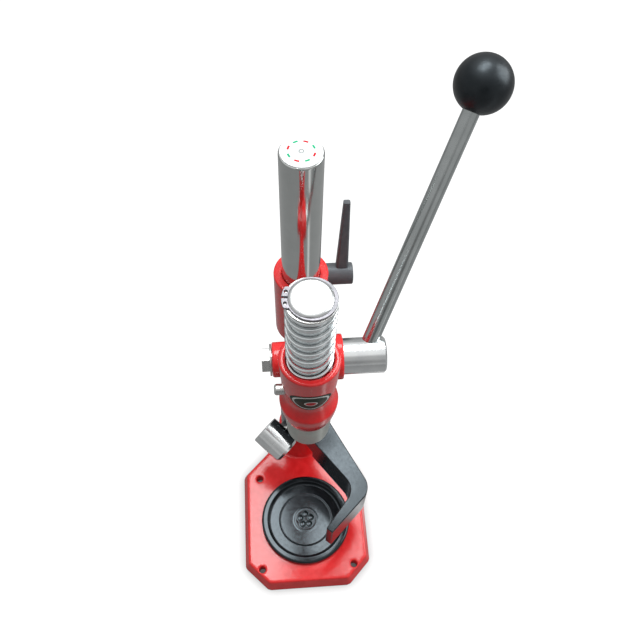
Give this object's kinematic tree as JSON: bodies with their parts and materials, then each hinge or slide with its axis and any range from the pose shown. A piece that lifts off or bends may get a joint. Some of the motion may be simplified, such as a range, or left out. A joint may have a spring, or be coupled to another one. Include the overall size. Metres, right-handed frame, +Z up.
{
  "type": "crown cap bottle capper",
  "caption": "Bench crown capper: a hand lever turns a pinion that drives a racked plunger and its bell down over a bottle standing on a dish, with a V-shaped bottle guide.",
  "frame": {"origin": "on the plunger's axis, in the plane of the bench under the base, at the centre of the base's bolt holes", "axes": "+Z up along the plunger and the column, +Y back from the plunger to the column, +X to the side of the hand lever"},
  "size_m": [0.2391, 0.2568, 0.6065],
  "materials": {
    "red_enamel": "gloss",
    "chrome_tube": "polished",
    "chrome_parts": "polished",
    "plunger_steel": "ground",
    "spring_steel": "bright",
    "zinc_fasteners": "zinc plated",
    "bell_steel": "matt",
    "magnet": "satin",
    "black_guide": "gloss",
    "black_dish": "gloss",
    "black_ball": "satin",
    "black_lever": "satin",
    "grey_plug": "matt",
    "white_disc": "gloss",
    "guide_pad": "satin"
  },
  "bodies": {
    "base": {"base_casting": "red_enamel", "column_set_screw": "zinc_fasteners", "bottle_dish": "black_dish", "dish_screw": "zinc_fasteners", "column": "chrome_tube", "column_foot_plug": "zinc_fasteners", "column_top_plug": "grey_plug", "column_top_disc": "white_disc", "column_washer": "zinc_fasteners", "column_bolt": "zinc_fasteners"},
    "head": {"head_casting": "red_enamel", "guide_screw": "zinc_fasteners", "clamp_bolt": "zinc_fasteners", "clamp_washers": "zinc_fasteners", "return_spring": "spring_steel"},
    "lever": {"pinion_shaft": "chrome_parts", "shaft_washer": "zinc_fasteners", "shaft_bolt": "zinc_fasteners", "lever_rod": "chrome_parts", "ball_knob": "black_ball"},
    "plunger": {"plunger": "plunger_steel", "circlip": "spring_steel", "spring_washer": "zinc_fasteners", "crown_bell": "bell_steel", "bell_magnet": "magnet", "magnet_screw": "zinc_fasteners"},
    "clamp_handle": {"clamp_lever": "black_lever"},
    "guide": {"bottle_guide": "black_guide", "guide_pad": "guide_pad"},
    "guide_knob": {"guide_stud": "zinc_fasteners", "cross_knob": "chrome_parts"}
  },
  "joints": [
    {"name": "head_height", "type": "slide", "parent": "base", "child": "head", "axis": [0, 0, 1], "range_m": [-0.1, 0.148]},
    {"name": "lever_turn", "type": "hinge", "parent": "head", "child": "lever", "pos_m": [0, 0.0255, 0.41], "axis": [1, 0, 0], "range_deg": [0, 150]},
    {"name": "plunger_slide", "type": "slide", "parent": "head", "child": "plunger", "axis": [0, 0, -1], "range_m": [0, 0.0328], "stiffness_N_per_m": 1000, "springref_m": -0.045, "deforming": ["return_spring"]},
    {"name": "clamp_turn", "type": "hinge", "parent": "head", "child": "clamp_handle", "pos_m": [0.03, 0.149, 0.3565], "axis": [1, 0, 0], "range_deg": [0, 120]},
    {"name": "guide_height", "type": "slide", "parent": "base", "child": "guide", "axis": [0, 0, 1], "range_m": [-0.005, 0.06]},
    {"name": "guide_knob_turn", "type": "hinge", "parent": "guide", "child": "guide_knob", "pos_m": [-0.03275, 0.0815, 0.095], "axis": [-0.6782, -0.7349, 0], "range_deg": [0, 90]}
  ],
  "couplings": [
    {"joint": "plunger_slide", "follows": "lever_turn", "m_per_rad": 0.0125}
  ]
}
